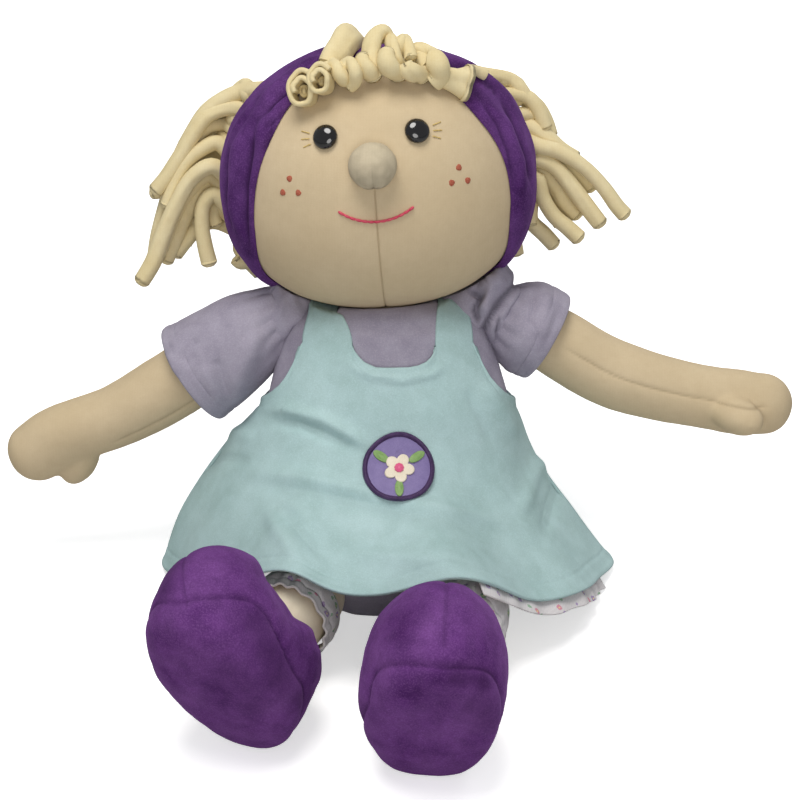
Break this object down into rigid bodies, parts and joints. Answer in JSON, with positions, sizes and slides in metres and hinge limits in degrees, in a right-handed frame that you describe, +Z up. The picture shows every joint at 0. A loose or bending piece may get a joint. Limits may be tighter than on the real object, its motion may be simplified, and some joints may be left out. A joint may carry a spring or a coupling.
{
  "type": "rag doll",
  "caption": "Soft seated rag doll with a wide stuffed head, a headscarf, strand hair, jointed stuffed arms and legs, a flared pinafore and padded shoes.",
  "frame": {"origin": "on the floor, in the middle of the flat that the seat rests on", "axes": "the doll faces -Y, its left is at +X, and +Z is up"},
  "size_m": [0.4011, 0.314, 0.2849],
  "materials": {
    "cream_jersey": "matte",
    "lilac_cotton": "matte",
    "mint_velour": "matte",
    "purple_velour": "matte",
    "yellow_jersey": "matte",
    "printed_cotton": "matte",
    "polyester_fill": "matte",
    "rose_thread": "satin",
    "freckle_print": "matte",
    "badge_violet": "satin",
    "badge_purple": "satin",
    "badge_cream": "satin",
    "eye_plastic": "gloss",
    "washer_plastic": "matte"
  },
  "bodies": {
    "torso": {"torso_skin": "lilac_cotton", "torso_stuffing": "polyester_fill", "pinafore_front": "mint_velour", "pinafore_back": "mint_velour", "right_strap": "mint_velour", "left_strap": "mint_velour", "hem_lining": "printed_cotton", "badge_ground": "badge_violet", "badge_border": "badge_purple", "badge_blossom": "badge_cream"},
    "neck": {"neck": "cream_jersey"},
    "head": {"head_skin": "cream_jersey", "head_stuffing": "polyester_fill", "right_eye": "eye_plastic", "left_eye": "eye_plastic", "right_eye_washer": "washer_plastic", "left_eye_washer": "washer_plastic", "nose": "cream_jersey", "mouth_stitching": "rose_thread", "right_freckle_1": "freckle_print", "right_freckle_2": "freckle_print", "right_freckle_3": "freckle_print", "left_freckle_1": "freckle_print", "left_freckle_2": "freckle_print", "left_freckle_3": "freckle_print", "headscarf": "purple_velour", "fringe_curl_1": "yellow_jersey", "fringe_curl_2": "yellow_jersey", "fringe_curl_3": "yellow_jersey", "fringe_curl_4": "yellow_jersey", "fringe_curl_5": "yellow_jersey", "fringe_curl_6": "yellow_jersey", "fringe_curl_7": "yellow_jersey", "hair_right": "yellow_jersey", "hair_left": "yellow_jersey"},
    "right_shoulder": {"right_arm_gather": "cream_jersey"},
    "right_arm": {"right_arm_skin": "cream_jersey", "right_arm_stuffing": "polyester_fill", "right_sleeve": "lilac_cotton"},
    "left_shoulder": {"left_arm_gather": "cream_jersey"},
    "left_arm": {"left_arm_skin": "cream_jersey", "left_arm_stuffing": "polyester_fill", "left_sleeve": "lilac_cotton"},
    "right_leg": {"right_leg_skin": "cream_jersey", "right_leg_stuffing": "polyester_fill", "right_bloomer_leg": "printed_cotton", "right_shoe_upper": "purple_velour", "right_shoe_sole": "purple_velour", "right_shoe_stuffing": "polyester_fill"},
    "left_leg": {"left_leg_skin": "cream_jersey", "left_leg_stuffing": "polyester_fill", "left_bloomer_leg": "printed_cotton", "left_shoe_upper": "purple_velour", "left_shoe_sole": "purple_velour", "left_shoe_stuffing": "polyester_fill"}
  },
  "joints": [
    {"name": "neck_nod", "type": "hinge", "parent": "torso", "child": "neck", "pos_m": [0, 0.04883, 0.13465], "axis": [1, 0, 0], "range_deg": [-10, 8]},
    {"name": "head_turn", "type": "hinge", "parent": "neck", "child": "head", "pos_m": [0, 0.04883, 0.13465], "axis": [-0.0682, 0.2079, 0.9758], "range_deg": [-18, 18]},
    {"name": "right_shoulder_swing", "type": "hinge", "parent": "torso", "child": "right_shoulder", "pos_m": [-0.05724, 0.0487, 0.13429], "axis": [0, 0.3322, 0.9432], "range_deg": [-5, 35]},
    {"name": "right_shoulder_lift", "type": "hinge", "parent": "right_shoulder", "child": "right_arm", "pos_m": [-0.05724, 0.0487, 0.13429], "axis": [0, 0.9432, -0.3322], "range_deg": [-2, 22]},
    {"name": "left_shoulder_swing", "type": "hinge", "parent": "torso", "child": "left_shoulder", "pos_m": [0.05724, 0.0487, 0.13429], "axis": [0, -0.3322, -0.9432], "range_deg": [-5, 35]},
    {"name": "left_shoulder_lift", "type": "hinge", "parent": "left_shoulder", "child": "left_arm", "pos_m": [0.05724, 0.0487, 0.13429], "axis": [0, -0.9432, 0.3322], "range_deg": [-2, 22]},
    {"name": "right_hip_swing", "type": "hinge", "parent": "torso", "child": "right_leg", "pos_m": [-0.03867, -0.04115, 0.02351], "axis": [1, 0, 0], "range_deg": [0, 70]},
    {"name": "left_hip_swing", "type": "hinge", "parent": "torso", "child": "left_leg", "pos_m": [0.03867, -0.04115, 0.02351], "axis": [1, 0, 0], "range_deg": [0, 70]}
  ]
}
